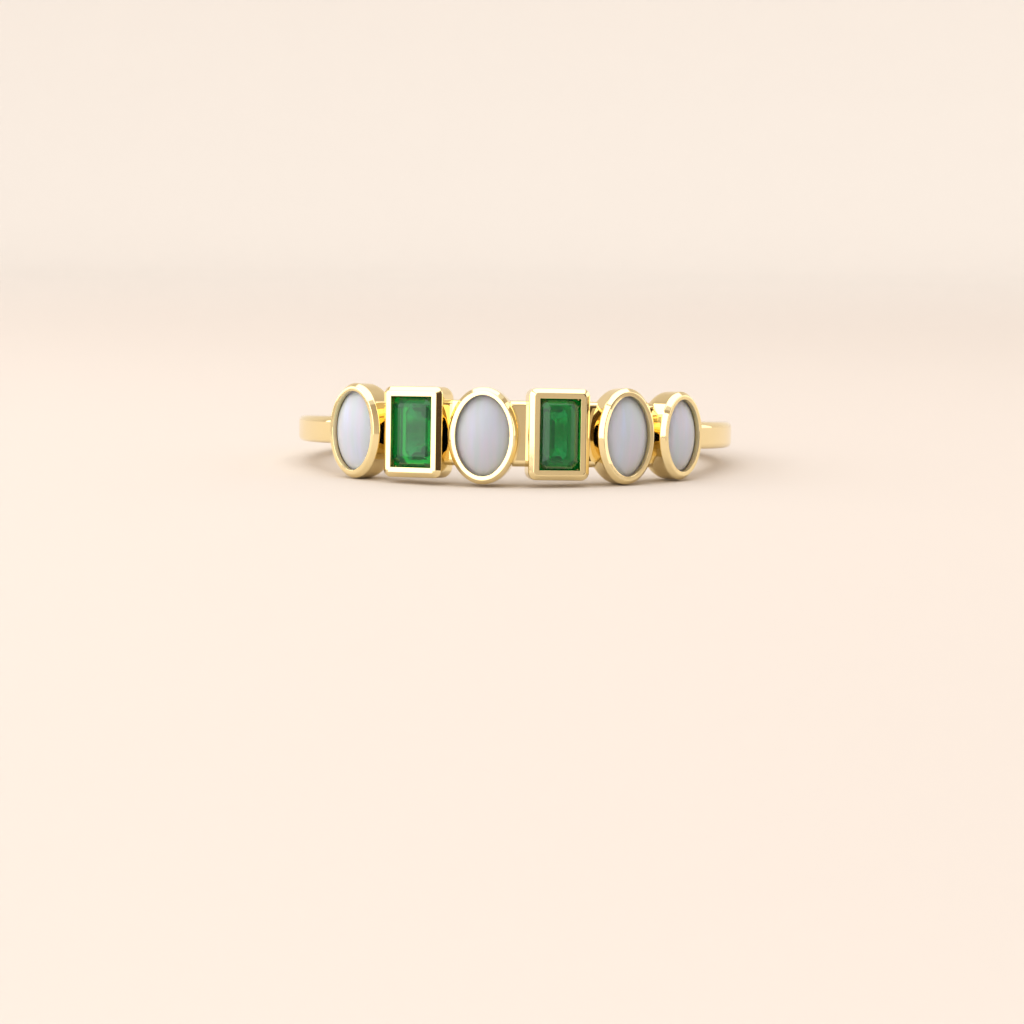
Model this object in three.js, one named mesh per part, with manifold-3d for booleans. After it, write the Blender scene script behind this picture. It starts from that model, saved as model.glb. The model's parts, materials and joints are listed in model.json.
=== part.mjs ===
// A six-stone stacking ring in yellow gold, with four oval opal cabochons and two emerald-cut green
// stones, each in its own polished bezel. Lengths are in millimetres and +Z is up.
//
// The metal is one soldered solid: a slim round shank that widens into a gallery behind the stones,
// and six bezel cups that stand on the gallery. The ring is drawn round its own finger axis, with the
// stones towards -Y, and is then laid down on its side, the way it comes to rest on a table.

import * as THREE from "three";
import { ConvexHull } from "three/addons/math/ConvexHull.js";
import { mergeVertices } from "three/addons/utils/BufferGeometryUtils.js";
import Module from "manifold-3d";

const wasm = await Module();
wasm.setup();

// Band sizes
const FINGER_RADIUS = 8.65;
const SHANK_THICKNESS = 1.4;
const SHANK_WIDTH = 1.2;
const GALLERY_THICKNESS = 0.95;
const GALLERY_WIDTH = 2.8;
const BAND_CORNER = 0.28;

// Bezel cup sizes
const CUP_RISE = 1.75; // finger surface to the crest of the rim
const CUP_FOOT = 0.15; // finger surface to the cup's foot, which is buried in the gallery
const FOOT_COVER = 0.06; // gallery metal above and below the foot
const FOOT_TUCK = 0.25; // how much narrower the foot is than the rim, on each side
const BOWL_RISE = 0.85; // finger surface to where the bowl's curve becomes a straight wall
const RIM_ROLL = 0.25; // height of the rounded rim above the straight wall
const RIM_GAP = 0.3; // free space between the rims of two neighbours, at most about this
const OPAL_RIM = 0.37; // rim width, outside to window
const EMERALD_RIM = 0.46;
const EMERALD_CUP_CORNER = 0.34;
const WINDOW_CORNER = 0.06;

// Stone sizes, at the girdle
const OPAL_WIDTH = 2.56;
const OPAL_HEIGHT = 3.66;
const OPAL_DOME_HEIGHT = 0.72;
const OPAL_BASE = 0.4; // girdle to the flat back
const OPAL_BACK_INSET = 0.22;
const EMERALD_WIDTH = 2.1;
const EMERALD_HEIGHT = 3.25;
const EMERALD_CROWN = 0.42;
const EMERALD_TABLE_WIDTH = 0.96;
const EMERALD_TABLE_HEIGHT = 2.05;
const EMERALD_CORNER = 0.36;
const GIRDLE = 0.08; // thickness of the stones' edge

// How a stone is held
const LIP = 0.15; // how far the bezel's lip laps over the stone's edge
const CLEARANCE = 0.04; // air between a stone and its seat
const LEDGE = 0.55; // width of the bearing left round the light hole behind a stone
const KEEL_RISE = 0.3; // finger surface to the lowest edge of a green stone
const CUT_PAST = 0.2; // how far a cut runs past the face that it opens

// Faceting
const OVAL_STEPS = 32;
const BAND_STEPS = 96;
const CORNER_STEPS = 4;
const BAND_CORNER_STEPS = 3;
const BOWL_STEPS = 4;
const DOME_STEPS = 5;

// The rounded rim, from the straight wall over the crest and down to the window.
// across: share of the rim's width. below: share of the rim's roll, under the crest.
const RIM_SECTIONS = [
  { across: 0.0, below: 1.0 },
  { across: 0.07, below: 0.46 },
  { across: 0.22, below: 0.12 },
  { across: 0.42, below: 0.0 },
  { across: 0.62, below: 0.14 },
  { across: 1.0, below: 0.8 },
];

// The step cut. inward: share of the way from the girdle to the table, or to the keel.
// away: share of the crown's height, or of the pavilion's depth.
const CROWN_STEPS = [
  { inward: 0.0, away: 0.0 },
  { inward: 0.5, away: 0.62 },
  { inward: 1.0, away: 1.0 },
];
const PAVILION_STEPS = [
  { inward: 0.96, away: 1.0 },
  { inward: 0.7, away: 0.8 },
  { inward: 0.36, away: 0.46 },
  { inward: 0.0, away: 0.0 },
];

const OPAL = { oval: true, width: OPAL_WIDTH, height: OPAL_HEIGHT, rim: OPAL_RIM };
const EMERALD = { oval: false, width: EMERALD_WIDTH, height: EMERALD_HEIGHT, rim: EMERALD_RIM };

// The row of stones, from left to right. size: share of the full width and height of that kind.
// wide: a further share of its width, because each stone was cut by hand. gap: share of the rim gap
// that lies to the left of its cup. low: how far the cup sits below the middle of the shank, as a
// share of the shank's width.
const ROW = [
  { name: "opal_1", kind: OPAL, size: 1.0, wide: 1.03, gap: 0, low: 0 },
  { name: "emerald_1", kind: EMERALD, size: 1.0, wide: 1.03, gap: 0.7, low: 0 },
  { name: "opal_2", kind: OPAL, size: 1.0, wide: 1.0, gap: 0.8, low: 0.08 },
  { name: "emerald_2", kind: EMERALD, size: 1.0, wide: 0.95, gap: 1.43, low: 0 },
  { name: "opal_3", kind: OPAL, size: 1.0, wide: 0.92, gap: 1.2, low: 0.04 },
  { name: "opal_4", kind: OPAL, size: 0.92, wide: 0.96, gap: 0.93, low: 0 },
];

const CREST = FINGER_RADIUS + CUP_RISE;
const WALL_TOP = CREST - RIM_ROLL;
const LIP_LEVEL = CREST - RIM_ROLL * RIM_SECTIONS.at(-1).below;

const gold = new THREE.MeshStandardMaterial({ color: 0xe2b672, metalness: 1, roughness: 0.12 });
const opal = new THREE.MeshStandardMaterial({ color: 0xd2cfda, metalness: 0, roughness: 0.2 });
const green = new THREE.MeshStandardMaterial({ color: 0x14713a, metalness: 0, roughness: 0.05 });
green.flatShading = true;

// Outlines, as points that run anticlockwise round the middle

function ovalOutline(halfWidth, halfHeight) {
  const curve = new THREE.EllipseCurve(0, 0, halfWidth, halfHeight);
  return curve.getPoints(OVAL_STEPS).slice(0, -1);
}

// A rectangle with each corner rounded by an arc of that many steps; one step cuts the corner flat.
function boxOutline(halfWidth, halfHeight, corner, steps) {
  const radius = Math.min(corner, halfWidth, halfHeight);
  const quarters = [[1, 1], [-1, 1], [-1, -1], [1, -1]];
  return quarters.flatMap(([right, up], quarter) => {
    const arc = new THREE.EllipseCurve(
      right * (halfWidth - radius), up * (halfHeight - radius), radius, radius,
      (quarter * Math.PI) / 2, ((quarter + 1) * Math.PI) / 2);
    return arc.getPoints(steps);
  });
}

// The outline of a cup or its window, set in from the cup's outside by that much.
function cupOutline(stone, inset) {
  const halfWidth = stone.cupHalfWidth - inset;
  const halfHeight = stone.cupHalfHeight - inset;
  if (stone.kind.oval) return ovalOutline(halfWidth, halfHeight);
  const corner = Math.max(EMERALD_CUP_CORNER - inset, WINDOW_CORNER);
  return boxOutline(halfWidth, halfHeight, corner, CORNER_STEPS);
}

// Surfaces through rings of points

function at(outline, level) {
  return outline.map((p) => new THREE.Vector3(p.x, p.y, level));
}

function middleOf(ring) {
  const sum = ring.reduce((total, p) => total.add(p), new THREE.Vector3());
  return sum.divideScalar(ring.length);
}

// Joins each ring to the next one, and either the last to the first or both ends to a cap.
function skin(rings, endless = false) {
  const count = rings[0].length;
  const points = rings.flat();
  const index = [];
  const spans = endless ? rings.length : rings.length - 1;
  for (let i = 0; i < spans; i++) {
    const near = i * count;
    const far = ((i + 1) % rings.length) * count;
    for (let j = 0; j < count; j++) {
      const k = (j + 1) % count;
      index.push(near + j, near + k, far + k, near + j, far + k, far + j);
    }
  }
  if (!endless) {
    const start = points.push(middleOf(rings[0])) - 1;
    const end = points.push(middleOf(rings.at(-1))) - 1;
    const last = (rings.length - 1) * count;
    for (let j = 0; j < count; j++) {
      const k = (j + 1) % count;
      index.push(start, k, j, end, last + j, last + k);
    }
  }
  const geometry = new THREE.BufferGeometry().setFromPoints(points);
  geometry.setIndex(index);
  geometry.computeVertexNormals();
  return geometry;
}

// Solids for joining and cutting

function solidOf(geometry, matrix = new THREE.Matrix4()) {
  const bare = new THREE.BufferGeometry();
  bare.setAttribute("position", geometry.getAttribute("position").clone());
  bare.setIndex(geometry.getIndex());
  const merged = mergeVertices(bare.applyMatrix4(matrix));
  return new wasm.Manifold(new wasm.Mesh({
    numProp: 3,
    vertProperties: merged.getAttribute("position").array,
    triVerts: new Uint32Array(merged.getIndex().array),
  }));
}

function geometryOf(solid) {
  const mesh = solid.getMesh();
  const geometry = new THREE.BufferGeometry();
  geometry.setAttribute("position", new THREE.BufferAttribute(new Float32Array(mesh.vertProperties), 3));
  geometry.setIndex(new THREE.BufferAttribute(new Uint32Array(mesh.triVerts), 1));
  geometry.computeVertexNormals();
  return geometry;
}

// The shank and gallery, as one endless band

function bandSection(angle, firstAngle, lastAngle, endHalfAngle) {
  const end = angle < 0 ? -firstAngle : lastAngle;
  const shank = THREE.MathUtils.smoothstep(Math.abs(angle), end, end + endHalfAngle);
  const thickness = THREE.MathUtils.lerp(GALLERY_THICKNESS, SHANK_THICKNESS, shank);
  const width = THREE.MathUtils.lerp(GALLERY_WIDTH, SHANK_WIDTH, shank);
  const outline = boxOutline(thickness / 2, width / 2, BAND_CORNER, BAND_CORNER_STEPS);
  return outline.map((p) => {
    const radius = FINGER_RADIUS + thickness / 2 + p.x;
    return new THREE.Vector3(radius * Math.sin(angle), -radius * Math.cos(angle), p.y);
  });
}

function bandGeometry(stones) {
  const sections = [];
  for (let i = 0; i < BAND_STEPS; i++) {
    const angle = Math.PI * (1 - (2 * i) / BAND_STEPS);
    sections.push(bandSection(angle, stones[0].angle, stones.at(-1).angle, stones[0].halfAngle));
  }
  return skin(sections, true);
}

// Bezel cups, drawn with their face towards +Z and the finger axis at their origin

function cupGeometry(stone) {
  const footHalfHeight = GALLERY_WIDTH / 2 - FOOT_COVER;
  const rings = [];
  for (let i = 0; i < BOWL_STEPS; i++) {
    const around = (Math.PI / 2) * (1 - i / BOWL_STEPS);
    const tuck = 1 - Math.cos(around);
    const level = FINGER_RADIUS + BOWL_RISE - (BOWL_RISE - CUP_FOOT) * Math.sin(around);
    const halfWidth = stone.cupHalfWidth - tuck * FOOT_TUCK;
    const halfHeight = THREE.MathUtils.lerp(stone.cupHalfHeight, footHalfHeight, tuck);
    rings.push(at(stone.kind.oval ? ovalOutline(halfWidth, halfHeight)
      : boxOutline(halfWidth, halfHeight, EMERALD_CUP_CORNER, CORNER_STEPS), level));
  }
  rings.push(at(cupOutline(stone, 0), FINGER_RADIUS + BOWL_RISE));
  for (const { across, below } of RIM_SECTIONS) {
    rings.push(at(cupOutline(stone, across * stone.kind.rim), CREST - below * RIM_ROLL));
  }
  return skin(rings);
}

function windowGeometry(stone) {
  const outline = cupOutline(stone, stone.kind.rim);
  return skin([at(outline, stone.girdleLevel), at(outline, CREST + CUT_PAST)]);
}

function lightHoleGeometry(stone) {
  const halfWidth = stone.halfWidth - LEDGE;
  const halfHeight = stone.halfHeight - LEDGE;
  const outline = stone.kind.oval ? ovalOutline(halfWidth, halfHeight)
    : boxOutline(halfWidth, halfHeight, EMERALD_CORNER, 1);
  return skin([at(outline, FINGER_RADIUS - CUT_PAST), at(outline, stone.girdleLevel)]);
}

// Stones, as sections from the back to the front. level is measured from the girdle's lower edge.

function opalSections(stone) {
  const sections = [
    {
      halfWidth: stone.halfWidth - OPAL_BACK_INSET,
      halfHeight: stone.halfHeight - OPAL_BACK_INSET,
      level: -OPAL_BASE,
    },
    { halfWidth: stone.halfWidth, halfHeight: stone.halfHeight, level: 0 },
  ];
  for (let i = 0; i < DOME_STEPS; i++) {
    const around = (Math.PI / 2) * (i / DOME_STEPS);
    sections.push({
      halfWidth: stone.halfWidth * Math.cos(around),
      halfHeight: stone.halfHeight * Math.cos(around),
      level: GIRDLE + (OPAL_DOME_HEIGHT * stone.size - GIRDLE) * Math.sin(around),
    });
  }
  return sections;
}

function emeraldSections(stone, pavilion) {
  const keelHalfHeight = stone.halfHeight - stone.halfWidth;
  const below = PAVILION_STEPS.map(({ inward, away }) => ({
    halfWidth: stone.halfWidth * (1 - inward),
    halfHeight: THREE.MathUtils.lerp(stone.halfHeight, keelHalfHeight, inward),
    level: -pavilion * away,
  }));
  const above = CROWN_STEPS.map(({ inward, away }) => ({
    halfWidth: THREE.MathUtils.lerp(stone.halfWidth, stone.tableHalfWidth, inward),
    halfHeight: THREE.MathUtils.lerp(stone.halfHeight, stone.tableHalfHeight, inward),
    level: GIRDLE + (EMERALD_CROWN - GIRDLE) * away,
  }));
  return [...below, ...above];
}

function stoneSections(stone) {
  if (stone.kind.oval) return opalSections(stone);
  return emeraldSections(stone, stone.girdleLevel - FINGER_RADIUS - KEEL_RISE);
}

// The stone's own surface, or its seat when it is grown by a clearance.
function stoneGeometry(stone, grow = 0) {
  const rings = stoneSections(stone).map(({ halfWidth, halfHeight, level }) => {
    const corner = (EMERALD_CORNER * 2 * halfWidth) / EMERALD_WIDTH;
    const outline = stone.kind.oval ? ovalOutline(halfWidth + grow, halfHeight + grow)
      : boxOutline(halfWidth + grow, halfHeight + grow, corner, 1);
    return at(outline, stone.girdleLevel + level + Math.sign(level) * grow);
  });
  return skin(rings);
}

// How high the stone's front stands above its girdle where the lip ends.
function riseAtWindow(stone) {
  const windowHalfWidth = stone.halfWidth - LIP;
  if (stone.kind.oval) {
    const share = windowHalfWidth / stone.halfWidth;
    return GIRDLE + (OPAL_DOME_HEIGHT * stone.size - GIRDLE) * Math.sqrt(1 - share * share);
  }
  const [girdle, step] = CROWN_STEPS;
  const run = stone.halfWidth - stone.tableHalfWidth;
  const share = LIP / (run * (step.inward - girdle.inward));
  return GIRDLE + (EMERALD_CROWN - GIRDLE) * (step.away - girdle.away) * share;
}

// Each cup takes the angle that its width needs, and the row is centred at the front.
function layOutRow() {
  let angle = 0;
  const stones = ROW.map(({ name, kind, size, wide, gap, low }) => {
    const stone = { name, kind, size };
    stone.halfWidth = (kind.width * size * wide) / 2;
    stone.halfHeight = (kind.height * size) / 2;
    stone.tableHalfWidth = (EMERALD_TABLE_WIDTH * size * wide) / 2;
    stone.tableHalfHeight = (EMERALD_TABLE_HEIGHT * size) / 2;
    stone.drop = low * SHANK_WIDTH;
    stone.cupHalfWidth = stone.halfWidth - LIP + kind.rim;
    stone.cupHalfHeight = stone.halfHeight - LIP + kind.rim;
    stone.halfAngle = Math.atan(stone.cupHalfWidth / WALL_TOP);
    stone.girdleLevel = LIP_LEVEL - CLEARANCE - riseAtWindow(stone);
    stone.angle = angle + (gap * RIM_GAP) / WALL_TOP + stone.halfAngle;
    angle = stone.angle + stone.halfAngle;
    return stone;
  });
  const middle = (stones[0].angle + stones.at(-1).angle) / 2;
  stones.forEach((stone) => (stone.angle -= middle));
  return stones;
}

// A group whose +Z points out of the ring at the stone's angle, and whose +Y is the finger axis.
function stationOf(stone) {
  const station = new THREE.Group();
  station.rotation.set(Math.PI / 2, 0, stone.angle, "ZYX");
  station.position.z = -stone.drop;
  station.updateMatrix();
  return station;
}

function settingGeometry(stones) {
  let metal = solidOf(bandGeometry(stones));
  for (const stone of stones) metal = metal.add(solidOf(cupGeometry(stone), stationOf(stone).matrix));
  for (const stone of stones) {
    const cutters = [stoneGeometry(stone, CLEARANCE), windowGeometry(stone), lightHoleGeometry(stone)];
    for (const cutter of cutters) metal = metal.subtract(solidOf(cutter, stationOf(stone).matrix));
  }
  return geometryOf(metal);
}

// Laying the ring down

function massCentre(geometry) {
  const points = geometry.getAttribute("position");
  const index = geometry.getIndex();
  const centre = new THREE.Vector3();
  const corners = [new THREE.Vector3(), new THREE.Vector3(), new THREE.Vector3()];
  let volume = 0;
  for (let i = 0; i < index.count; i += 3) {
    corners.forEach((corner, j) => corner.fromBufferAttribute(points, index.getX(i + j)));
    const [a, b, c] = corners;
    const share = a.dot(b.clone().cross(c)) / 6;
    volume += share;
    centre.addScaledVector(a.clone().add(b).add(c), share / 4);
  }
  return centre.divideScalar(volume);
}

// The outward normal of the face that the ring rests on: the face of its convex hull under its weight.
function restingNormal(ring, weight) {
  const hull = new ConvexHull().setFromObject(ring);
  const down = new THREE.Ray(weight, new THREE.Vector3(0, 0, -1));
  const corners = [new THREE.Vector3(), new THREE.Vector3(), new THREE.Vector3()];
  const under = hull.faces.find((face) => {
    let edge = face.edge;
    for (const corner of corners) {
      corner.copy(edge.head().point);
      edge = edge.next;
    }
    return face.normal.z < 0 && down.intersectTriangle(...corners, false, new THREE.Vector3());
  });
  return under.normal;
}

function layDown(ring, weight) {
  ring.updateMatrixWorld(true);
  ring.quaternion.setFromUnitVectors(restingNormal(ring, weight), new THREE.Vector3(0, 0, -1));
  ring.updateMatrixWorld(true);
  const box = new THREE.Box3().setFromObject(ring, true);
  ring.position.set(-(box.min.x + box.max.x) / 2, -(box.min.y + box.max.y) / 2, -box.min.z);
}

function buildRing() {
  const ring = new THREE.Group();
  const stones = layOutRow();
  const setting = new THREE.Mesh(settingGeometry(stones), gold);
  setting.name = "setting";
  ring.add(setting);
  for (const stone of stones) {
    const mesh = new THREE.Mesh(stoneGeometry(stone), stone.kind.oval ? opal : green);
    mesh.name = stone.name;
    ring.add(stationOf(stone).add(mesh));
  }
  layDown(ring, massCentre(setting.geometry));
  return new THREE.Group().add(ring);
}

export default buildRing();
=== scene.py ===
# %% [markdown]
# A stacking ring, dressed
#
# The imported part is a slim yellow gold ring with a row of six bezels: four oval opals and two
# emerald-cut green stones. The imported solids are coarse, so this lesson builds smooth metal and
# well cut stones in their place, gives them their finishes, and sets up a small studio.
#
# We start by loading the imported part. It fixes where everything is.

# %% Load the imported part
import json
import math

import bmesh
import bpy
from mathutils import Matrix, Vector


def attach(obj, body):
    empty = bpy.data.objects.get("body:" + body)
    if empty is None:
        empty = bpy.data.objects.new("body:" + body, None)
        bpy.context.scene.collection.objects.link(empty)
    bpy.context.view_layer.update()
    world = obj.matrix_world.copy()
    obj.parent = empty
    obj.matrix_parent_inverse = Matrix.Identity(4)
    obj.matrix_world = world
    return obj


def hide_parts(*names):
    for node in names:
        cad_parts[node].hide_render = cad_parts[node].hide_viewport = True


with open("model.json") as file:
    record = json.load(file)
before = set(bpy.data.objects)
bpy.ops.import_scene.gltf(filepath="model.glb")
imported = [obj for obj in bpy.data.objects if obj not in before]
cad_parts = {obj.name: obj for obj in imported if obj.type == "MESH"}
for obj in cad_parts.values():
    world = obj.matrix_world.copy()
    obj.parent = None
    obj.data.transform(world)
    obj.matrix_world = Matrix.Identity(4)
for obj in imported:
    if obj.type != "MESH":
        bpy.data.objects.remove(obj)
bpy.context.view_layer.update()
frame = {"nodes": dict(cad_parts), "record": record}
print("nodes:", sorted(frame["nodes"]))

# %% [markdown]
# A jeweller thinks in millimetres and draws a ring round its own finger axis, so we model at one unit
# to the millimetre, with the finger axis along Z and the stones towards -Y. The real ring lies on
# its side and leans a little, because its cups stand out further than its shank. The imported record
# holds a flat face on the shank: its direction is the finger axis, and its place gives the middle of
# the ring. From those two we get the one matrix that lays each finished piece down in metres.

# %% Where the ring lies
MILLIMETRE = 0.001
FINGER_RADIUS = 8.65
SHANK_THICKNESS = 1.4
SHANK_WIDTH = 1.2
MIDDLE_RADIUS = FINGER_RADIUS + SHANK_THICKNESS / 2
UPRIGHT = Vector((0, 0, 1))

mounts = {mount["name"]: mount for mount in frame["record"]["mounts"]}
shank_face = mounts["shank_face_upper"]
finger_axis = Vector(shank_face["axis"]).normalized()
lean = UPRIGHT.rotation_difference(finger_axis).to_matrix()
face_in_ring = Vector((0, MIDDLE_RADIUS, SHANK_WIDTH / 2))
ring_middle = Vector(shank_face["pos_m"]) - lean @ face_in_ring * MILLIMETRE
lay_flat = Matrix.Translation(ring_middle) @ lean.to_4x4() @ Matrix.Scale(MILLIMETRE, 4)
print("the finger axis leans by", round(math.degrees(finger_axis.angle(UPRIGHT)), 2), "degrees")

# %% [markdown]
# Every step by hand in Blender works on what is selected. A few small helpers keep that honest: they
# clear the bench before a new primitive, take up one piece, and pick the faces or points that the
# next operator works on, by where they are.

# %% Helpers for the bench
def clear_bench():
    """Leaves no object selected."""
    bpy.ops.object.select_all(action="DESELECT")


def take(piece):
    """Makes a piece the only one that the next operator works on."""
    clear_bench()
    piece.select_set(True)
    bpy.context.view_layer.objects.active = piece


def pick(piece, what, wanted):
    """Selects the faces, edges or verts of a piece in edit mode that are wanted."""
    bpy.ops.mesh.select_mode(type={"faces": "FACE", "edges": "EDGE", "verts": "VERT"}[what])
    bpy.ops.mesh.select_all(action="DESELECT")
    mesh = bmesh.from_edit_mesh(piece.data)
    for element in getattr(mesh, what):
        element.select_set(wanted(element))
    mesh.select_flush_mode()
    bmesh.update_edit_mesh(piece.data)


def push(distance, wide=1.0, tall=1.0):
    """Extrudes what is selected along Z, and widens it by those factors round the Z axis."""
    bpy.ops.mesh.extrude_region_move(TRANSFORM_OT_translate={"value": (0, 0, distance)})
    bpy.ops.transform.resize(value=(wide, tall, 1), center_override=(0, 0, 0))


def place(piece, matrix):
    """Moves a piece by a matrix and writes the move into its mesh."""
    take(piece)
    piece.matrix_world = matrix
    bpy.ops.object.transform_apply(location=True, rotation=True, scale=True)


# %% [markdown]
# The row of stones follows a rule that a maker would use: every cup takes the angle that its own
# width needs, a small gap parts it from the next, and the row is centred at the front. The table
# gives the order from left to right. Its columns are shares, because the stones were cut and set by
# hand: size of the whole stone, wide for a further share of its width, gap for the part of the rim
# gap to its left, and low for how far its cup sits below the middle of the shank.

# %% Lay out the row of stones
CUP_RISE = 1.75
CREST = FINGER_RADIUS + CUP_RISE
RIM_ROLL = 0.25
WALL_TOP = CREST - RIM_ROLL
LIP_DROP = 0.8
LIP = 0.15
RIM_GAP = 0.3
OPAL = {"shape": "oval", "width": 2.56, "height": 3.66, "rim": 0.37}
GREEN = {"shape": "step", "width": 2.1, "height": 3.25, "rim": 0.46}
ROW = [
    {"name": "opal_1", "kind": OPAL, "size": 1.0, "wide": 1.03, "gap": 0, "low": 0},
    {"name": "emerald_1", "kind": GREEN, "size": 1.0, "wide": 1.03, "gap": 0.7, "low": 0},
    {"name": "opal_2", "kind": OPAL, "size": 1.0, "wide": 1.0, "gap": 0.8, "low": 0.08},
    {"name": "emerald_2", "kind": GREEN, "size": 1.0, "wide": 0.95, "gap": 1.43, "low": 0},
    {"name": "opal_3", "kind": OPAL, "size": 1.0, "wide": 0.92, "gap": 1.2, "low": 0.04},
    {"name": "opal_4", "kind": OPAL, "size": 0.92, "wide": 0.96, "gap": 0.93, "low": 0},
]

angle = 0
for stone in ROW:
    kind, size = stone["kind"], stone["size"]
    stone["half_width"] = kind["width"] * size * stone["wide"] / 2
    stone["half_height"] = kind["height"] * size / 2
    stone["cup_half_width"] = stone["half_width"] - LIP + kind["rim"]
    stone["cup_half_height"] = stone["half_height"] - LIP + kind["rim"]
    half_angle = math.atan(stone["cup_half_width"] / WALL_TOP)
    stone["angle"] = angle + stone["gap"] * RIM_GAP / WALL_TOP + half_angle
    stone["half_angle"] = half_angle
    angle = stone["angle"] + half_angle
middle_angle = (ROW[0]["angle"] + ROW[-1]["angle"]) / 2
for stone in ROW:
    stone["angle"] -= middle_angle
    stone["station"] = (
        Matrix.Translation((0, 0, -stone["low"] * SHANK_WIDTH))
        @ Matrix.Rotation(stone["angle"], 4, "Z")
        @ Matrix.Rotation(math.pi / 2, 4, "X")
    )
print("stations in degrees:", [round(math.degrees(stone["angle"]), 1) for stone in ROW])

# %% [markdown]
# The band is one bar of metal bent round: a flat-sided section with rounded corners. We draw the
# section as a plane, round its corners with a bevel, and spin it a full turn about the finger axis.
#
# Behind the stones the same bar becomes the gallery, taller and thinner. We could spin a second
# section for it, but its ends would show as steps. Widening the spun band itself, slice by slice with
# an eased share, keeps one clean skin and the same corner rounding all the way round.

# %% Spin the band
BAND_CORNER = 0.28
BAND_STEPS = 288
CORNER_STEPS = 6
SEAM_WELD = 0.001

clear_bench()
bpy.ops.mesh.primitive_plane_add(size=1, enter_editmode=True)
band = bpy.context.object
band.name = "gold_setting"
bpy.ops.transform.resize(value=(SHANK_WIDTH, SHANK_THICKNESS, 1))
bpy.ops.mesh.select_mode(type="VERT")
bpy.ops.mesh.select_all(action="SELECT")
bpy.ops.mesh.bevel(offset=BAND_CORNER, segments=CORNER_STEPS, affect="VERTICES")
bpy.ops.mesh.select_all(action="SELECT")
bpy.ops.mesh.delete(type="ONLY_FACE")
bpy.ops.object.mode_set(mode="OBJECT")
place(band, Matrix.Translation((0, -MIDDLE_RADIUS, 0)) @ Matrix.Rotation(math.pi / 2, 4, "Y"))
bpy.ops.object.mode_set(mode="EDIT")
bpy.ops.mesh.select_all(action="SELECT")
bpy.ops.mesh.spin(steps=BAND_STEPS, angle=2 * math.pi, center=(0, 0, 0), axis=(0, 0, 1))
bpy.ops.mesh.select_all(action="SELECT")
bpy.ops.mesh.remove_doubles(threshold=SEAM_WELD)
bpy.ops.mesh.normals_make_consistent(inside=False)
bpy.ops.object.mode_set(mode="OBJECT")
print("band:", [round(side, 3) for side in band.dimensions], "mm,", len(band.data.polygons), "faces")

# %% Widen it into the gallery
GALLERY_THICKNESS = 0.95
GALLERY_WIDTH = 2.8
STEP_ANGLE = 2 * math.pi / BAND_STEPS
HALF_STEP = STEP_ANGLE / 2
thinner = (FINGER_RADIUS + GALLERY_THICKNESS) / (FINGER_RADIUS + SHANK_THICKNESS)


def angle_of(vert):
    """The angle round the finger axis from the front, positive to the right."""
    return math.atan2(vert.co.x, -vert.co.y)


def widen(first, last, share):
    """Makes the band between two angles that share of the way from shank to gallery."""
    rise = share * (GALLERY_WIDTH - SHANK_WIDTH) / 2
    narrow = 1 + share * (thinner - 1)
    for side in (1, -1):
        pick(band, "verts", lambda v: first <= angle_of(v) < last and v.co.z * side > 0)
        bpy.ops.transform.translate(value=(0, 0, side * rise))
    pick(band, "verts", lambda v: first <= angle_of(v) < last and v.co.xy.length > MIDDLE_RADIUS)
    bpy.ops.transform.resize(value=(narrow, narrow, 1), center_override=(0, 0, 0))


def eased(share):
    """Zero below zero, one above one, and a smooth way between."""
    share = min(max(share, 0), 1)
    return share * share * (3 - 2 * share)


bpy.ops.object.mode_set(mode="EDIT")
reach = {-1: -ROW[0]["angle"], 1: ROW[-1]["angle"]}
blend_angle = ROW[0]["half_angle"]
full_steps = {side: math.floor(reach[side] / STEP_ANGLE) for side in (-1, 1)}
widen(-full_steps[-1] * STEP_ANGLE - HALF_STEP, full_steps[1] * STEP_ANGLE + HALF_STEP, 1)
for side in (-1, 1):
    step = full_steps[side] + 1
    while step * STEP_ANGLE < reach[side] + blend_angle:
        past = step * STEP_ANGLE - reach[side]
        centre = side * step * STEP_ANGLE
        widen(centre - HALF_STEP, centre + HALF_STEP, 1 - eased(past / blend_angle))
        step += 1
bpy.ops.object.mode_set(mode="OBJECT")
print("gallery:", round(band.dimensions.z, 3), "mm tall")

# %% [markdown]
# A bezel cup is a short tube of metal, closed by a bowl at the back, with a polished rim rolled over
# the stone. The outline at the foot of the rim is the one that we know best, so each cup starts
# there: a filled circle stretched to an oval, or a plane with rounded corners. Extruding it down
# makes the wall, and a few more pushes, each a little smaller, make the bowl. The rim is made by
# insets on the face on top, because an inset keeps the rim's width even all the way round. Its
# profile is a soft shoulder, a bevel that the setter filed outside, a flat top, and a short step down
# to the stone. across is a share of the rim's width, and below of its roll.

# %% Bezel cups
CUP_FOOT = 0.15
FOOT_COVER = 0.06
FOOT_TUCK = 0.25
BOWL_RISE = 0.85
CUP_CORNER = 0.34
OVAL_SIDES = 128
BOWL_STEPS = 10
CORNER_LEFT = 0.01
ARC_EDGE = 0.08
LEVEL_SLACK = 0.0005
RIM_PROFILE = [
    {"across": 0.0, "below": 1.0},
    {"across": 0.01, "below": 0.9},
    {"across": 0.03, "below": 0.8},
    {"across": 0.06, "below": 0.72},
    {"across": 0.4, "below": 0.06},
    {"across": 0.43, "below": 0.028},
    {"across": 0.46, "below": 0.008},
    {"across": 0.5, "below": 0.0},
    {"across": 0.88, "below": 0.01},
    {"across": 0.91, "below": 0.04},
    {"across": 0.93, "below": 0.12},
    {"across": 1.0, "below": 0.8},
]


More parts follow.
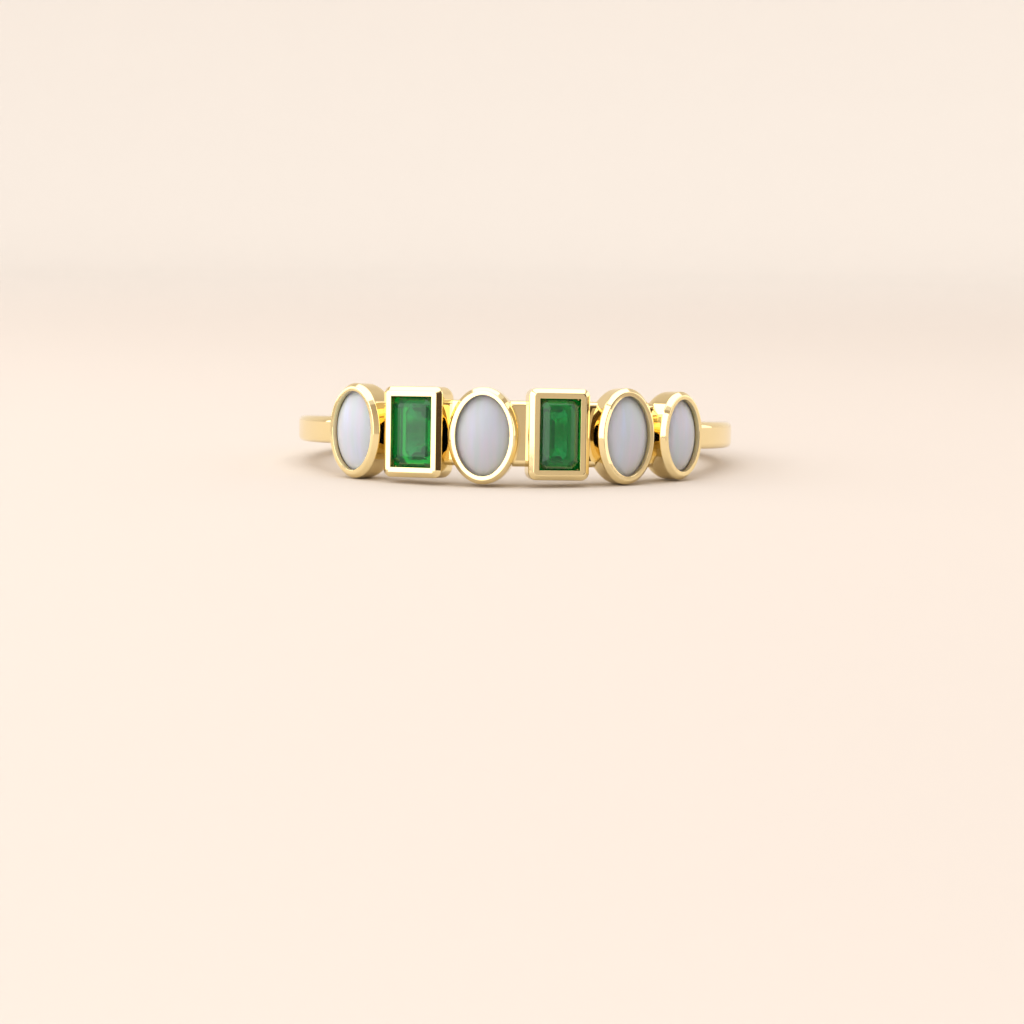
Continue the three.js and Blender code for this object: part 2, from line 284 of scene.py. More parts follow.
def draw_outline(half_width, half_height, oval, corner, steps, level):
    """Starts a piece with a filled outline at that level, and leaves it in edit mode."""
    clear_bench()
    if oval:
        bpy.ops.mesh.primitive_circle_add(
            vertices=OVAL_SIDES, radius=1, fill_type="NGON", location=(0, 0, level), enter_editmode=True
        )
    else:
        bpy.ops.mesh.primitive_plane_add(size=2, location=(0, 0, level), enter_editmode=True)
    bpy.ops.transform.resize(value=(half_width, half_height, 1), center_override=(0, 0, 0))
    if not oval:
        bpy.ops.mesh.select_mode(type="VERT")
        bpy.ops.mesh.select_all(action="SELECT")
        bpy.ops.mesh.bevel(offset=corner, segments=steps, affect="VERTICES")
    bpy.ops.mesh.select_mode(type="FACE")
    bpy.ops.mesh.select_all(action="SELECT")
    return bpy.context.object


def pick_level(piece, level):
    """Turns all faces of a piece outwards, and selects the flat ones at that level."""
    bpy.ops.mesh.select_all(action="SELECT")
    bpy.ops.mesh.normals_make_consistent(inside=False)
    offset = piece.location.z
    pick(piece, "faces", lambda f: all(abs(v.co.z + offset - level) < LEVEL_SLACK for v in f.verts))


def note_place(piece, stone, number):
    """Keeps where each point lies across and along a stone, for its finish."""
    places = piece.data.attributes.new("stone_place", "FLOAT_VECTOR", "POINT")
    for place_in, vert in zip(places.data, piece.data.vertices):
        across, along = vert.co.x / stone["half_width"], vert.co.y / stone["half_height"]
        place_in.vector = (across, along, number)


def finish_shell(piece, matrix):
    """Closes the work on a shell: faces outwards, and moved to its station."""
    bpy.ops.mesh.select_all(action="SELECT")
    bpy.ops.mesh.normals_make_consistent(inside=False)
    bpy.ops.object.mode_set(mode="OBJECT")
    bpy.ops.object.transform_apply(location=True, rotation=True, scale=True)
    place(piece, matrix)


def rim_profile(corner_stop):
    """Points of the rim from wall to lip, with one more where the corners become mitres."""
    points = [(point["across"], point["below"]) for point in RIM_PROFILE]
    for index, ((across, below), (next_across, next_below)) in enumerate(zip(points, points[1:])):
        if across < corner_stop < next_across:
            share = (corner_stop - across) / (next_across - across)
            points.insert(index + 1, (corner_stop, below + share * (next_below - below)))
            break
    return points


def square_corners(piece, level):
    """Draws the short arc at each corner of the face at that level to one point, for a mitre."""
    mesh = bmesh.from_edit_mesh(piece.data)
    mesh.edges.index_update()
    arcs = {
        edge.index for face in mesh.faces if face.select for edge in face.edges
        if edge.calc_length() < ARC_EDGE
    }
    pick(piece, "edges", lambda edge: edge.index in arcs)
    bpy.ops.mesh.merge(type="COLLAPSE")
    pick_level(piece, level)


def roll_rim(cup, stone):
    """Insets the face on top of a cup over the crest and down to the lip."""
    rim = stone["kind"]["rim"]
    corner_stop = (CUP_CORNER - CORNER_LEFT) / rim if stone["kind"] is GREEN else 0
    points = rim_profile(corner_stop)
    for (across, below), (next_across, next_below) in zip(points, points[1:]):
        bpy.ops.mesh.inset(thickness=(next_across - across) * rim, depth=(below - next_below) * RIM_ROLL)
        if next_across == corner_stop:
            square_corners(cup, CREST - next_below * RIM_ROLL)


def make_cup(stone):
    """One bezel cup, closed on top, at its place in the ring."""
    wide, tall = stone["cup_half_width"], stone["cup_half_height"]
    oval = stone["kind"] is OPAL
    cup = draw_outline(wide, tall, oval, CUP_CORNER, CORNER_STEPS, WALL_TOP)
    cup.name = "cup_" + stone["name"]
    bowl_top = FINGER_RADIUS + BOWL_RISE
    push(bowl_top - WALL_TOP)
    foot_tall = GALLERY_WIDTH / 2 - FOOT_COVER
    depth = BOWL_RISE - CUP_FOOT
    was = (1, 1, 0)
    for i in range(1, BOWL_STEPS + 1):
        turn = math.pi / 2 * i / BOWL_STEPS
        tuck = 1 - math.cos(turn)
        now = (1 - tuck * FOOT_TUCK / wide, 1 - tuck * (1 - foot_tall / tall), depth * math.sin(turn))
        push(was[2] - now[2], now[0] / was[0], now[1] / was[1])
        was = now
    pick_level(cup, WALL_TOP)
    roll_rim(cup, stone)
    finish_shell(cup, stone["station"])
    return cup


cups = [make_cup(stone) for stone in ROW]
print("cups:", [round(cup.dimensions.z, 2) for cup in cups], "mm tall")

# %% [markdown]
# The stones come next, because their seats are cut with the same shapes. An opal cabochon is a low
# polished dome on a flat back: a UV sphere squeezed to the right height, cut through at the girdle by
# a bisect, with the cut face pushed down for the back.

# %% Opals
OPAL_DOME = 0.72
OPAL_BASE = 0.4
OPAL_BACK_INSET = 0.22
GIRDLE = 0.08
CLEARANCE = 0.04
DOME_SEGMENTS = 96
DOME_RINGS = 64
STONE_APART = 7


def dome_height(stone):
    """How high the dome stands above the girdle's upper edge."""
    return OPAL_DOME * stone["size"] - GIRDLE


def opal_rise(stone):
    """How high the dome stands above the girdle's lower edge where the lip ends."""
    share = (stone["half_width"] - LIP) / stone["half_width"]
    return GIRDLE + dome_height(stone) * math.sqrt(1 - share * share)


LIP_LEVEL = CREST - RIM_ROLL * LIP_DROP


def make_opal(stone):
    """One cabochon at its place in the ring, just under the lip of its cup."""
    level = LIP_LEVEL - CLEARANCE - opal_rise(stone)
    clear_bench()
    bpy.ops.mesh.primitive_uv_sphere_add(
        segments=DOME_SEGMENTS, ring_count=DOME_RINGS, radius=1, enter_editmode=True
    )
    opal = bpy.context.object
    opal.name = "cabochon_" + stone["name"].split("_")[1]
    bpy.ops.mesh.bisect(plane_co=(0, 0, 0), plane_no=(0, 0, 1), use_fill=True, clear_inner=True)
    bpy.ops.mesh.select_all(action="SELECT")
    bpy.ops.transform.resize(
        value=(stone["half_width"], stone["half_height"], dome_height(stone)), center_override=(0, 0, 0)
    )
    bpy.ops.transform.translate(value=(0, 0, level + GIRDLE))
    pick_level(opal, level + GIRDLE)
    push(-GIRDLE)
    back_wide = 1 - OPAL_BACK_INSET / stone["half_width"]
    back_tall = 1 - OPAL_BACK_INSET / stone["half_height"]
    push(-OPAL_BASE, back_wide, back_tall)
    stone["girdle_level"] = level
    bpy.ops.object.mode_set(mode="OBJECT")
    note_place(opal, stone, STONE_APART * ROW.index(stone))
    bpy.ops.object.mode_set(mode="EDIT")
    finish_shell(opal, stone["station"])
    return opal


opals = {stone["name"]: make_opal(stone) for stone in ROW if stone["kind"] is OPAL}
print("opals:", {name: len(piece.data.polygons) for name, piece in opals.items()}, "faces")

# %% [markdown]
# A green stone is a step cut: a rectangle with its corners cut off, whose flat steps run parallel to
# the edge. On the crown an inset is the natural tool, because each step has the same width on all
# sides, like the cutter's. The pavilion narrows to a keel, where even steps would cross over each
# other, so there each step is pushed down and made smaller instead.

# %% Emerald-cut stones
GREEN_CROWN = 0.42
GREEN_CORNER = 0.36
GREEN_TABLE_WIDTH = 0.96
KEEL_RISE = 0.3
CROWN_STEPS = [
    {"inward": 0.36, "up": 0.5},
    {"inward": 0.34, "up": 0.31},
    {"inward": 0.3, "up": 0.19},
]
PAVILION_STEPS = [
    {"inward": 0.36, "down": 0.46},
    {"inward": 0.7, "down": 0.8},
    {"inward": 0.96, "down": 1.0},
]
EDGE_SOFTENING = 0.008


def crown_run(stone):
    """How far the table's long side lies inside the girdle."""
    return stone["half_width"] - GREEN_TABLE_WIDTH * stone["size"] * stone["wide"] / 2


def green_rise(stone):
    """How high the crown stands above the girdle's lower edge where the lip ends."""
    first = CROWN_STEPS[0]
    run = crown_run(stone)
    return GIRDLE + (GREEN_CROWN - GIRDLE) * first["up"] * LIP / (run * first["inward"])


def make_green(stone):
    """One step-cut stone at its place in the ring, with its table just over the lip of its cup."""
    level = LIP_LEVEL - CLEARANCE - green_rise(stone)
    wide, tall = stone["half_width"], stone["half_height"]
    green = draw_outline(wide, tall, False, GREEN_CORNER, 1, level)
    green.name = "step_cut_" + stone["name"].split("_")[1]
    depth = level - FINGER_RADIUS - KEEL_RISE
    keel_tall = tall - wide
    was = (wide, tall, 0)
    for step in PAVILION_STEPS:
        inward = step["inward"]
        now = (wide * (1 - inward), tall + (keel_tall - tall) * inward, depth * step["down"])
        push(was[2] - now[2], now[0] / was[0], now[1] / was[1])
        was = now
    pick_level(green, level)
    push(GIRDLE)
    for step in CROWN_STEPS:
        bpy.ops.mesh.inset(
            thickness=crown_run(stone) * step["inward"], depth=(GREEN_CROWN - GIRDLE) * step["up"]
        )
    stone["girdle_level"] = level
    stone["pavilion"] = depth
    finish_shell(green, stone["station"])
    soften = green.modifiers.new("soft_edges", "BEVEL")
    soften.width = EDGE_SOFTENING
    soften.segments = 1
    soften.limit_method = "ANGLE"
    bpy.ops.object.modifier_apply(modifier=soften.name)
    return green


greens = {stone["name"]: make_green(stone) for stone in ROW if stone["kind"] is GREEN}
print("green stones:", {name: len(piece.data.polygons) for name, piece in greens.items()}, "faces")

# %% [markdown]
# A setter cuts a seat in each cup that follows the stone, with a hair of air round it, and leaves a
# light hole behind. We make one cutter for each stone in the same way as the stones, slightly larger,
# with the light hole below and the window above. Its window is a little wider than the end of the
# rim, so the cut trims the rim to a crisp lip.

# %% Cutters for the seats
LEDGE = 0.55
CUT_PAST = 0.2
SEAT_AIR = 0.015
LIP_TRIM = 0.01
SEAT_STEPS = 6
WINDOW_CORNER = 0.03
WINDOW_CORNER_STEPS = 2


def cut_light_hole(stone, outline_wide, outline_tall, level):
    """The light hole, from the bottom of the seat at that level to past the finger surface."""
    push(0, (stone["half_width"] - LEDGE) / outline_wide, (stone["half_height"] - LEDGE) / outline_tall)
    push(FINGER_RADIUS - CUT_PAST - level)


def make_oval_cutter(stone):
    """Light hole, seat, lip and window of an opal."""
    level = stone["girdle_level"]
    wide, tall = stone["half_width"] + SEAT_AIR, stone["half_height"] + SEAT_AIR
    cutter = draw_outline(wide, tall, oval=True, corner=0, steps=0, level=level)
    base_wide, base_tall = wide - OPAL_BACK_INSET, tall - OPAL_BACK_INSET
    depth = OPAL_BASE + SEAT_AIR
    push(-depth, base_wide / wide, base_tall / tall)
    cut_light_hole(stone, base_wide, base_tall, level - depth)
    pick_level(cutter, level)
    push(GIRDLE + SEAT_AIR)
    window_wide = stone["half_width"] - LIP + LIP_TRIM
    window_tall = stone["half_height"] - LIP + LIP_TRIM
    end = math.acos(window_wide / wide)
    was = (wide, tall, 0)
    for i in range(1, SEAT_STEPS + 1):
        turn = end * i / SEAT_STEPS
        share = (1 - math.cos(turn)) / (1 - math.cos(end))
        rise = dome_height(stone) * math.sin(turn)
        now = (wide * math.cos(turn), tall + (window_tall - tall) * share, rise)
        push(now[2] - was[2], now[0] / was[0], now[1] / was[1])
        was = now
    push(CREST + CUT_PAST - LIP_LEVEL)
    return cutter


def make_step_cutter(stone):
    """Light hole and seat of a green stone, up to the underside of the lip."""
    level = stone["girdle_level"]
    wide, tall = stone["half_width"] + SEAT_AIR, stone["half_height"] + SEAT_AIR
    cutter = draw_outline(wide, tall, False, GREEN_CORNER, 1, level)
    first = PAVILION_STEPS[0]
    base_wide = stone["half_width"] * (1 - first["inward"]) + SEAT_AIR
    base_tall = tall - stone["half_width"] * first["inward"]
    depth = stone["pavilion"] * first["down"] + SEAT_AIR
    push(-depth, base_wide / wide, base_tall / tall)
    cut_light_hole(stone, base_wide, base_tall, level - depth)
    pick_level(cutter, level)
    push(GIRDLE + SEAT_AIR)
    push(green_rise(stone) - GIRDLE, 1 - LIP / wide, 1 - LIP / tall)
    return cutter


def make_window_cutter(stone):
    """The square-cornered window over a green stone."""
    low, high = stone["girdle_level"], CREST + CUT_PAST
    clear_bench()
    bpy.ops.mesh.primitive_cube_add(size=2, location=(0, 0, (low + high) / 2), enter_editmode=True)
    cutter = bpy.context.object
    window_wide = stone["half_width"] - LIP + LIP_TRIM
    window_tall = stone["half_height"] - LIP + LIP_TRIM
    bpy.ops.transform.resize(value=(window_wide, window_tall, (high - low) / 2))
    pick(cutter, "edges", lambda edge: (edge.verts[0].co.xy - edge.verts[1].co.xy).length < CLEARANCE)
    bpy.ops.mesh.bevel(offset=WINDOW_CORNER, segments=WINDOW_CORNER_STEPS)
    return cutter


cutters = []
for stone in ROW:
    makers = [make_oval_cutter] if stone["kind"] is OPAL else [make_step_cutter, make_window_cutter]
    for make in makers:
        cutter = make(stone)
        cutter.name = "cutter_" + str(len(cutters))
        finish_shell(cutter, stone["station"])
        cutters.append(cutter)
print("cutters:", len(cutters))

# %% [markdown]
# On the real ring everything of metal is soldered into one piece, so the cups are joined to the band
# with a boolean, and the seats are cut with another. The exact solver takes all six at once from a
# collection. Afterwards the smooth faces are shaded by angle, which keeps the lips and the joints
# crisp, and weighted normals keep the filed flats flat where they meet small rounded faces.

# %% Join the cups and cut the seats
CUT_WELD = 0.0002


def as_group(name, pieces):
    """Moves pieces to a collection of their own, for a boolean."""
    group = bpy.data.collections.new(name)
    for piece in pieces:
        for owner in list(piece.users_collection):
            owner.objects.unlink(piece)
        group.objects.link(piece)
    bpy.context.scene.collection.children.link(group)
    return group


def combine(piece, pieces, operation):
    """Joins pieces to a piece or cuts them from it, and removes them."""
    group = as_group(operation.lower(), pieces)
    take(piece)
    work = piece.modifiers.new(operation.lower(), "BOOLEAN")
    work.operation = operation
    work.operand_type = "COLLECTION"
    work.collection = group
    work.solver = "EXACT"
    bpy.ops.object.modifier_apply(modifier=work.name)
    for used in pieces:
        bpy.data.objects.remove(used)
    bpy.data.collections.remove(group)


combine(band, cups, "UNION")
print("joined:", len(band.data.polygons), "faces")
combine(band, cutters, "DIFFERENCE")
bpy.ops.object.mode_set(mode="EDIT")
bpy.ops.mesh.select_all(action="SELECT")
bpy.ops.mesh.remove_doubles(threshold=CUT_WELD)
bpy.ops.mesh.dissolve_degenerate(threshold=CUT_WELD)
bpy.ops.object.mode_set(mode="OBJECT")
print("cut:", len(band.data.polygons), "faces")

# %% Lay the pieces down
SMOOTH_ANGLE = math.radians(32)
FLATS_FIRST = 100
setting = band
pieces = {"setting": setting, **opals, **greens}
for node, piece in pieces.items():
    take(piece)
    if node in greens:
        bpy.ops.object.shade_flat()
    else:
        bpy.ops.object.shade_smooth_by_angle(angle=SMOOTH_ANGLE)
        even = piece.modifiers.new("even_flats", "WEIGHTED_NORMAL")
        even.keep_sharp = True
        even.weight = FLATS_FIRST
        bpy.ops.object.modifier_apply(modifier=even.name)
    place(piece, lay_flat)
    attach(piece, "root")
    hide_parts(node)
print("pieces:", [piece.name for piece in pieces.values()])

# %% [markdown]
# Polished gold is nearly a mirror, so what makes it look real is small: soft patches of polish and
# the faintest ripple left by the wheel. Both are patterns that other finishes could use too, so they
# live in one node group with named values, and the metal only sets its own colour.

# %% A group for polish wear
def new_group(name, inputs, outputs):
    """A shader node group with plain number inputs, and outputs of the kinds given."""
    group = bpy.data.node_groups.new(name, "ShaderNodeTree")
    for label, value in inputs.items():
        socket = group.interface.new_socket(label, in_out="INPUT", socket_type="NodeSocketFloat")
        socket.default_value = value
    for label, kind in outputs.items():
        group.interface.new_socket(label, in_out="OUTPUT", socket_type=kind)
    start = group.nodes.new("NodeGroupInput")
    end = group.nodes.new("NodeGroupOutput")
    return group, start, end


def make_polish_group():
    """Patches of polish as a roughness, and the ripple of the wheel as a normal."""
    inputs = {
        "Patch Scale": 300.0,
        "Smoothest": 0.08,
        "Roughest": 0.2,
        "Ripple Scale": 900.0,
        "Ripple": 0.05,
    }
    outputs = {"Roughness": "NodeSocketFloat", "Normal": "NodeSocketVector"}
    group, start, end = new_group("polish", inputs, outputs)
    nodes, links = group.nodes, group.links
    place_in = nodes.new("ShaderNodeTexCoord")
    patches = nodes.new("ShaderNodeTexNoise")
    patches.inputs["Detail"].default_value = 3
    links.new(place_in.outputs["Object"], patches.inputs["Vector"])
    links.new(start.outputs["Patch Scale"], patches.inputs["Scale"])
    spread = nodes.new("ShaderNodeMapRange")
    spread.inputs["From Min"].default_value = 0.3
    spread.inputs["From Max"].default_value = 0.7
    links.new(patches.outputs["Fac"], spread.inputs["Value"])
    links.new(start.outputs["Smoothest"], spread.inputs["To Min"])
    links.new(start.outputs["Roughest"], spread.inputs["To Max"])
    ripple = nodes.new("ShaderNodeTexNoise")
    ripple.inputs["Detail"].default_value = 2
    links.new(place_in.outputs["Object"], ripple.inputs["Vector"])
    links.new(start.outputs["Ripple Scale"], ripple.inputs["Scale"])
    bump = nodes.new("ShaderNodeBump")
    bump.inputs["Distance"].default_value = 0.00005
    links.new(ripple.outputs["Fac"], bump.inputs["Height"])
    links.new(start.outputs["Ripple"], bump.inputs["Strength"])
    links.new(spread.outputs["Result"], end.inputs["Roughness"])
    links.new(bump.outputs["Normal"], end.inputs["Normal"])
    return group


polish = make_polish_group()
print("polish takes", [item.name for item in polish.interface.items_tree if item.in_out == "INPUT"])


# %% Gold
def new_material(name):
    """A new material, its nodes, its links and its Principled shader."""
    material = bpy.data.materials.new(name)
    material.use_nodes = True
    nodes, links = material.node_tree.nodes, material.node_tree.links
    return material, nodes, links, nodes["Principled BSDF"]


def dress(piece, material):
    """Gives a piece that material and no other."""
    piece.data.materials.clear()
    piece.data.materials.append(material)


def add_group(nodes, group, **values):
    """Places a node group and sets its named values, with underscores read as spaces."""
    node = nodes.new("ShaderNodeGroup")
    node.node_tree = group
    for label, value in values.items():
        node.inputs[label.replace("_", " ")].default_value = value
    return node


def make_gold():
    gold, nodes, links, shader = new_material("polished_gold")
    shader.inputs["Base Color"].default_value = (0.94, 0.79, 0.44, 1)
    shader.inputs["Metallic"].default_value = 1
    wear = add_group(nodes, polish, Smoothest=0.03, Roughest=0.07, Ripple=0.04)
    links.new(wear.outputs["Roughness"], shader.inputs["Roughness"])
    links.new(wear.outputs["Normal"], shader.inputs["Normal"])
    return gold


dress(setting, make_gold())

# %% [markdown]
# Opal is milky, with soft streaks from end to end and faint patches of other colours that come and
# go inside it. Both follow the stone and not the room, so each cabochon carries its own place as an
# attribute, written while it was modelled: where a point lies across and along the stone, with a
# number of its own in the third place, so that no two stones are alike.

# %% A group for soft streaks
def make_streak_group():
    """Soft streaks along a stone, as an amount between zero and one."""
    inputs = {"Across": 3.0, "Along": 0.5, "Softness": 0.3, "Seed": 0.0}
    group, start, end = new_group("soft_streaks", inputs, {"Amount": "NodeSocketFloat"})
    nodes, links = group.nodes, group.links
    place_in = nodes.new("ShaderNodeAttribute")
    place_in.attribute_name = "stone_place"
    stretch = nodes.new("ShaderNodeMapping")
    scale = nodes.new("ShaderNodeCombineXYZ")
    scale.inputs["Z"].default_value = 1
    shift = nodes.new("ShaderNodeCombineXYZ")
    links.new(start.outputs["Across"], scale.inputs["X"])
    links.new(start.outputs["Along"], scale.inputs["Y"])
    links.new(start.outputs["Seed"], shift.inputs["Z"])
    links.new(place_in.outputs["Vector"], stretch.inputs["Vector"])
    links.new(scale.outputs["Vector"], stretch.inputs["Scale"])
    links.new(shift.outputs["Vector"], stretch.inputs["Location"])
    haze = nodes.new("ShaderNodeTexNoise")
    haze.inputs["Scale"].default_value = 1
    haze.inputs["Detail"].default_value = 3
    links.new(stretch.outputs["Vector"], haze.inputs["Vector"])
    spread = nodes.new("ShaderNodeMapRange")
    spread.interpolation_type = "SMOOTHSTEP"
    low = nodes.new("ShaderNodeMath")
    low.operation = "SUBTRACT"
    low.inputs[0].default_value = 0.5
    high = nodes.new("ShaderNodeMath")
    high.operation = "ADD"
    high.inputs[0].default_value = 0.5
    links.new(start.outputs["Softness"], low.inputs[1])
    links.new(start.outputs["Softness"], high.inputs[1])
    links.new(low.outputs["Value"], spread.inputs["From Min"])
    links.new(high.outputs["Value"], spread.inputs["From Max"])
    links.new(haze.outputs["Fac"], spread.inputs["Value"])
    links.new(spread.outputs["Result"], end.inputs["Amount"])
    return group


streaks = make_streak_group()


# %% Opal
def mix_over(nodes, links, under, over, amount):
    """Lays a colour over what is under it, by a changing amount, and returns the result."""
    mix = nodes.new("ShaderNodeMix")
    mix.data_type = "RGBA"
    if isinstance(under, tuple):
        mix.inputs["A"].default_value = under
    else:
        links.new(under, mix.inputs["A"])
    mix.inputs["B"].default_value = over
    links.new(amount, mix.inputs["Factor"])
    return mix.outputs["Result"]


def make_opal_finish():
    finish, nodes, links, shader = new_material("milky_opal")
    milk = (0.5, 0.51, 0.64, 1)
    layers = [
        {"colour": (0.5, 0.57, 0.76, 1), "Across": 1.6, "Along": 0.25, "Softness": 0.16, "Seed": 0.0},
        {"colour": (0.56, 0.51, 0.59, 1), "Across": 2.6, "Along": 0.5, "Softness": 0.22, "Seed": 4.0},
        {"colour": (0.46, 0.53, 0.57, 1), "Across": 4.0, "Along": 0.8, "Softness": 0.3, "Seed": 9.0},
    ]
    colour = milk
    for layer in layers:
        amount = add_group(nodes, streaks, **{key: layer[key] for key in layer if key != "colour"})
        colour = mix_over(nodes, links, colour, layer["colour"], amount.outputs["Amount"])
    links.new(colour, shader.inputs["Base Color"])
    shader.inputs["Roughness"].default_value = 0.3
    shader.inputs["Subsurface Weight"].default_value = 0.9
    shader.inputs["Subsurface Radius"].default_value = (0.9, 0.8, 1.0)
    shader.inputs["Subsurface Scale"].default_value = 0.0015
    shader.inputs["IOR"].default_value = 1.44
    return finish


opal_finish = make_opal_finish()
for piece in opals.values():
    dress(piece, opal_finish)


# %% Green stone
def make_green_finish():
    finish, nodes, links, shader = new_material("green_stone")
    shader.inputs["Base Color"].default_value = (0.005, 0.36, 0.12, 1)
    shader.inputs["Roughness"].default_value = 0.1
    shader.inputs["IOR"].default_value = 1.52
    shader.inputs["Transmission Weight"].default_value = 0.85
    depth = nodes.new("ShaderNodeVolumeAbsorption")
    depth.inputs["Color"].default_value = (0.02, 0.78, 0.3, 1)
    depth.inputs["Density"].default_value = 850
    links.new(depth.outputs["Volume"], nodes["Material Output"].inputs["Volume"])
    return finish


green_finish = make_green_finish()
for piece in greens.values():
    dress(piece, green_finish)

# %% [markdown]
# The studio is a round sweep: a pale floor that curves up all round, so that no edge of it shows from
# any side. Its paper colour is painted paler towards the back, a painted light for the less light that
# reaches it there. The light comes from two soft boxes to the left, one overhead and a weaker one to
# the right, over an even glow from all round.
# Polished metal shows what stands round it, so a dark card to the right of the camera draws the dark
# lines in the rims.

# %% Floor and backdrop
FLOOR_RADIUS = 0.35
WALL_HEIGHT = 0.4
SWEEP_SIDES = 128
SWEEP_STEPS = 10
SWEEP_RADIUS = 0.15
PAPER_FRONT = (0.64, 0.585, 0.54, 1)
# The paler paper colour towards the back, and its fade, are painted light for the less light that
# reaches the back of the sweep.
PAPER_BACK_WITH_PAINTED_LIGHT = (0.875, 0.845, 0.81, 1)
PAINTED_LIGHT_FADE_START = 0.08
PAINTED_LIGHT_FADE_END = 0.42


def make_sweep():
    """The floor and its curved wall, in metres round the ring."""
    clear_bench()
    bpy.ops.mesh.primitive_circle_add(
        vertices=SWEEP_SIDES, radius=FLOOR_RADIUS, fill_type="NGON", enter_editmode=True
    )
    sweep = bpy.context.object
    sweep.name = "sweep"
    bpy.ops.mesh.select_mode(type="EDGE")
    bpy.ops.mesh.select_all(action="SELECT")
    radius, height = FLOOR_RADIUS, 0
    for i in range(1, SWEEP_STEPS + 1):
        turn = math.pi / 2 * i / SWEEP_STEPS
        now = FLOOR_RADIUS + SWEEP_RADIUS * math.sin(turn)
        rise = SWEEP_RADIUS * (1 - math.cos(turn))
        pick(sweep, "edges", lambda edge: edge.is_boundary)
        bpy.ops.mesh.extrude_edges_move(TRANSFORM_OT_translate={"value": (0, 0, rise - height)})
        bpy.ops.transform.resize(value=(now / radius, now / radius, 1), center_override=(0, 0, 0))
        radius, height = now, rise
    pick(sweep, "edges", lambda edge: edge.is_boundary)
    bpy.ops.mesh.extrude_edges_move(TRANSFORM_OT_translate={"value": (0, 0, WALL_HEIGHT)})
    bpy.ops.object.mode_set(mode="OBJECT")
    bpy.ops.object.shade_smooth()
    return sweep


def make_paper():
    """Matt paper with painted light: its colour gets paler along Y, away from the camera, for the less
    light at the back.
    """
    paper, nodes, links, shader = new_material("backdrop_paper")
    place_in = nodes.new("ShaderNodeTexCoord")
    axes = nodes.new("ShaderNodeSeparateXYZ")
    links.new(place_in.outputs["Object"], axes.inputs["Vector"])
    # Painted light: the paper colour fades from the front colour to a paler one towards the back, where
    # less light falls.
    painted_light_fade = nodes.new("ShaderNodeMapRange")
    painted_light_fade.interpolation_type = "SMOOTHSTEP"
    painted_light_fade.inputs["From Min"].default_value = PAINTED_LIGHT_FADE_START
    painted_light_fade.inputs["From Max"].default_value = PAINTED_LIGHT_FADE_END
    links.new(axes.outputs["Y"], painted_light_fade.inputs["Value"])
    colour = mix_over(nodes, links, PAPER_FRONT, PAPER_BACK_WITH_PAINTED_LIGHT, painted_light_fade.outputs["Result"])
    links.new(colour, shader.inputs["Base Color"])
    shader.inputs["Roughness"].default_value = 0.9
    shader.inputs["Specular IOR Level"].default_value = 0
    return paper


sweep = make_sweep()
dress(sweep, make_paper())

# %% Lights
LIGHTS = [
    {"name": "key", "azimuth": -45, "elevation": 24, "distance": 0.3, "size": (0.42, 0.26),
     "power": 0.62, "colour": (1, 0.99, 0.97)},
    {"name": "side_left", "azimuth": -97, "elevation": 24, "distance": 0.3, "size": (0.24, 0.26),
     "power": 0.34, "colour": (1, 0.99, 0.97)},
    {"name": "top", "azimuth": 0, "elevation": 88, "distance": 0.34, "size": (0.42, 0.42),
     "power": 0.75, "colour": (1, 0.985, 0.96)},
    {"name": "fill", "azimuth": 91, "elevation": 18, "distance": 0.32, "size": (0.44, 0.26),
     "power": 0.36, "colour": (1, 0.97, 0.95)},
]
GLOW_COLOUR = (1, 0.93, 0.87, 1)
GLOW_STRENGTH = 0.9


def on_dome(azimuth, elevation, distance):
    """A point round the ring. Azimuth 0 is the camera's side, and 90 the right."""
    around, above = math.radians(azimuth), math.radians(elevation)
    return ring_middle + distance * Vector(
        (math.sin(around) * math.cos(above), -math.cos(around) * math.cos(above), math.sin(above))
    )


def aim(thing, from_point, at_point):
    """Puts a lamp or a camera at one point and turns it towards another."""
    thing.location = from_point
    thing.rotation_mode = "QUATERNION"
    thing.rotation_quaternion = (Vector(at_point) - Vector(from_point)).to_track_quat("-Z", "Y")


def soft_box(row):
    """A rectangular area light that shines on the ring and isn't seen itself."""
    light = bpy.data.lights.new(row["name"], "AREA")
    light.shape = "RECTANGLE"
    light.size, light.size_y = row["size"]
    light.energy = row["power"]
    light.color = row["colour"]
    lamp = bpy.data.objects.new(row["name"], light)
    bpy.context.scene.collection.objects.link(lamp)
    aim(lamp, on_dome(row["azimuth"], row["elevation"], row["distance"]), ring_middle)
    lamp.visible_camera = False


for row in LIGHTS:
    soft_box(row)

world = bpy.data.worlds.new("studio")
bpy.context.scene.world = world
world.use_nodes = True
background = world.node_tree.nodes["Background"]
background.inputs["Color"].default_value = GLOW_COLOUR
background.inputs["Strength"].default_value = GLOW_STRENGTH

# %% A dark card
CARD_AZIMUTH = 36.5
CARD_HALF_ANGLE = 14.5
CARD_NEAR = 0.075
CARD_LENGTH = 0.11
CARD_LEAN = 60


def make_card_paint():
    paint, *_, shader = new_material("card_paint")
    shader.inputs["Base Color"].default_value = (0.05, 0.028, 0.015, 1)
    shader.inputs["Roughness"].default_value = 1
    return paint


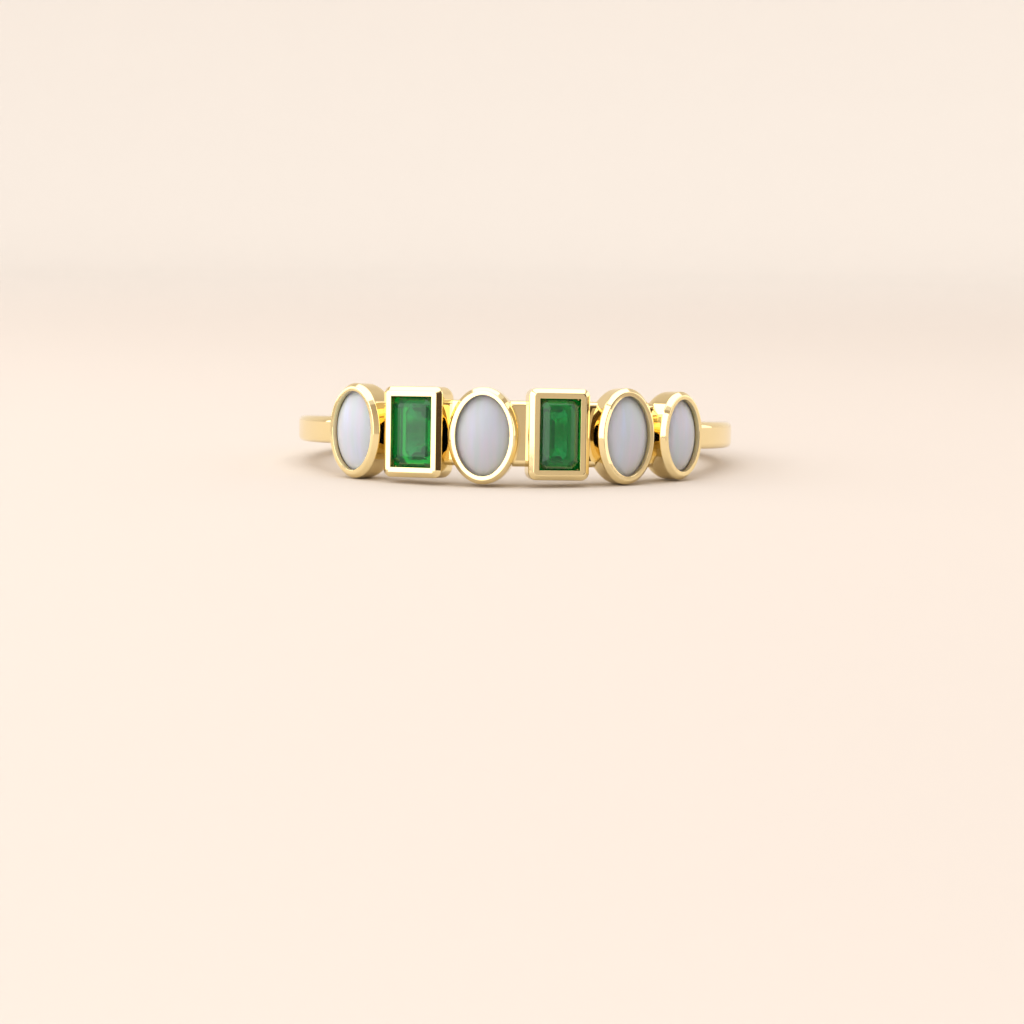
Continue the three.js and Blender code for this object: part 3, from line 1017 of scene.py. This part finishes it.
def make_dark_card():
    """A matt card that rises from the floor away from the ring, and only shows in reflections."""
    clear_bench()
    bpy.ops.mesh.primitive_plane_add(size=2, enter_editmode=True)
    card = bpy.context.object
    card.name = "dark_card"
    spread = math.tan(math.radians(CARD_HALF_ANGLE))
    far = CARD_NEAR + CARD_LENGTH * math.cos(math.radians(CARD_LEAN))
    bpy.ops.transform.resize(value=(CARD_NEAR * spread, CARD_LENGTH / 2, 1))
    bpy.ops.transform.translate(value=(0, -CARD_LENGTH / 2, 0))
    pick(card, "verts", lambda vert: vert.co.y < -CARD_LENGTH / 2)
    bpy.ops.transform.resize(value=(far / CARD_NEAR, 1, 1))
    bpy.ops.object.mode_set(mode="OBJECT")
    bpy.ops.object.transform_apply(location=True, rotation=True, scale=True)
    turned = Matrix.Rotation(math.radians(CARD_AZIMUTH), 4, "Z")
    stood = Matrix.Translation((0, -CARD_NEAR, 0)) @ Matrix.Rotation(-math.radians(CARD_LEAN), 4, "X")
    place(card, turned @ stood)
    card.visible_camera = False
    return card


card = make_dark_card()
dress(card, make_card_paint())

# %% [markdown]
# The camera stands almost level with the ring and a touch to the left, a hand's width away. It looks
# at the middle of the ring first, and is then tilted down and turned a little until the ring sits
# above the middle of the picture, as in the photograph, with a slight roll.

# %% Camera
CAMERA_AZIMUTH = -0.95
CAMERA_ELEVATION = 5.5
CAMERA_DISTANCE = 0.1005
TILT_DOWN = 2.16
TURN_LEFT = 0.063
ROLL = 0.53
LENS = 75.6
NEAREST_SEEN = 0.005

camera_data = bpy.data.cameras.new("camera")
camera_data.lens = LENS
camera_data.clip_start = NEAREST_SEEN
camera = bpy.data.objects.new("camera", camera_data)
bpy.context.scene.collection.objects.link(camera)
aim(camera, on_dome(CAMERA_AZIMUTH, CAMERA_ELEVATION, CAMERA_DISTANCE), ring_middle)
turns = [("Y", TURN_LEFT), ("X", -TILT_DOWN), ("Z", ROLL)]
facing = camera.rotation_quaternion.to_matrix()
for axis, degrees in turns:
    facing = facing @ Matrix.Rotation(math.radians(degrees), 3, axis)
camera.rotation_quaternion = facing.to_quaternion()
bpy.context.scene.camera = camera
bpy.context.scene.view_settings.view_transform = "Standard"
